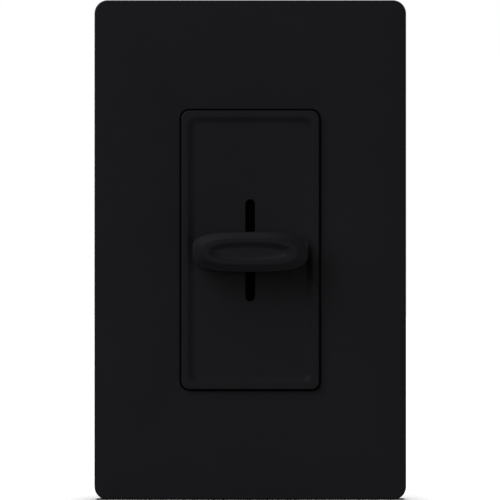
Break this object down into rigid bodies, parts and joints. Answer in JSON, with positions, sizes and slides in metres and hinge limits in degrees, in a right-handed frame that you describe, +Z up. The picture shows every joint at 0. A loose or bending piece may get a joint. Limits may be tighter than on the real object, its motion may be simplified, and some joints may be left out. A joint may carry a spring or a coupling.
{
  "type": "dimmer slide switch",
  "caption": "Wall dimmer with a screwless rectangular plate, a raised insert and a wide dished slider knob that runs up and down a slot.",
  "frame": {"origin": "on the wall plane, midway between the two wall box screws", "axes": "+Z up, along the slot; +Y into the wall, along the wall box screws; +X to the right as seen from the room"},
  "size_m": [0.0744, 0.0438, 0.1194],
  "materials": {
    "plate_plastic": "satin moulded black",
    "insert_plastic": "satin moulded black",
    "knob_plastic": "satin moulded black",
    "adapter_plastic": "plain moulded black",
    "housing_plastic": "moulded thermoset, faint grain",
    "black_nylon": "moulded nylon",
    "shield_film": "thin matt black film",
    "nylon": "natural nylon",
    "zinc_steel": "zinc plated steel",
    "spring_steel": "bright spring strip",
    "green_screw": "green dyed plating",
    "yoke_aluminium": "rolled sheet, fine grain",
    "rivet_aluminium": "headed over",
    "contact_brass": "stamped strip",
    "phenolic": "brown phenolic board",
    "carbon": "printed carbon ink",
    "board_laminate": "paper phenolic laminate",
    "solder": "tinned, semi bright",
    "mica": "thin clear sheet",
    "epoxy_black": "moulded epoxy",
    "ferrite": "painted iron powder core",
    "copper_wire": "enamelled copper wire",
    "capacitor_yellow": "boxed film capacitor",
    "capacitor_red": "dipped film capacitor",
    "diac_blue": "glass body",
    "resistor_tan": "lacquered body"
  },
  "bodies": {
    "dimmer_body": {"wallplate_cover": "plate_plastic", "wallplate_adapter": "adapter_plastic", "adapter_screws": "zinc_steel", "mounting_yoke": "yoke_aluminium", "box_screws": "zinc_steel", "screw_retainers": "nylon", "ground_screw": "green_screw", "face_insert": "insert_plastic", "switch_base": "phenolic", "switch_contact_bars": "contact_brass", "detent_spring": "spring_steel", "pot_frame": "zinc_steel", "pot_track_board": "phenolic", "pot_tracks": "carbon", "pot_terminals": "contact_brass", "circuit_board": "board_laminate", "lead_eyelets": "contact_brass", "solder_joints": "solder", "triac_insulator": "mica", "triac_tab": "zinc_steel", "triac_body": "epoxy_black", "triac_leads": "solder", "triac_rivet": "rivet_aluminium", "choke_core": "ferrite", "choke_winding": "copper_wire", "filter_capacitor": "capacitor_yellow", "timing_capacitor": "capacitor_red", "diac": "diac_blue", "resistors": "resistor_tan", "component_leads": "solder", "back_housing": "housing_plastic", "housing_screws": "zinc_steel"},
    "slider": {"slider_knob": "knob_plastic", "slider_carriage": "black_nylon", "slot_shield": "shield_film", "friction_springs": "spring_steel", "switch_actuator": "nylon", "switch_bridge": "contact_brass", "pot_wiper_block": "black_nylon", "pot_wiper_fingers": "contact_brass"}
  },
  "joints": [
    {"name": "slider_travel", "type": "slide", "parent": "dimmer_body", "child": "slider", "axis": [0, 0, 1], "range_m": [-0.0091, 0.0098]}
  ]
}
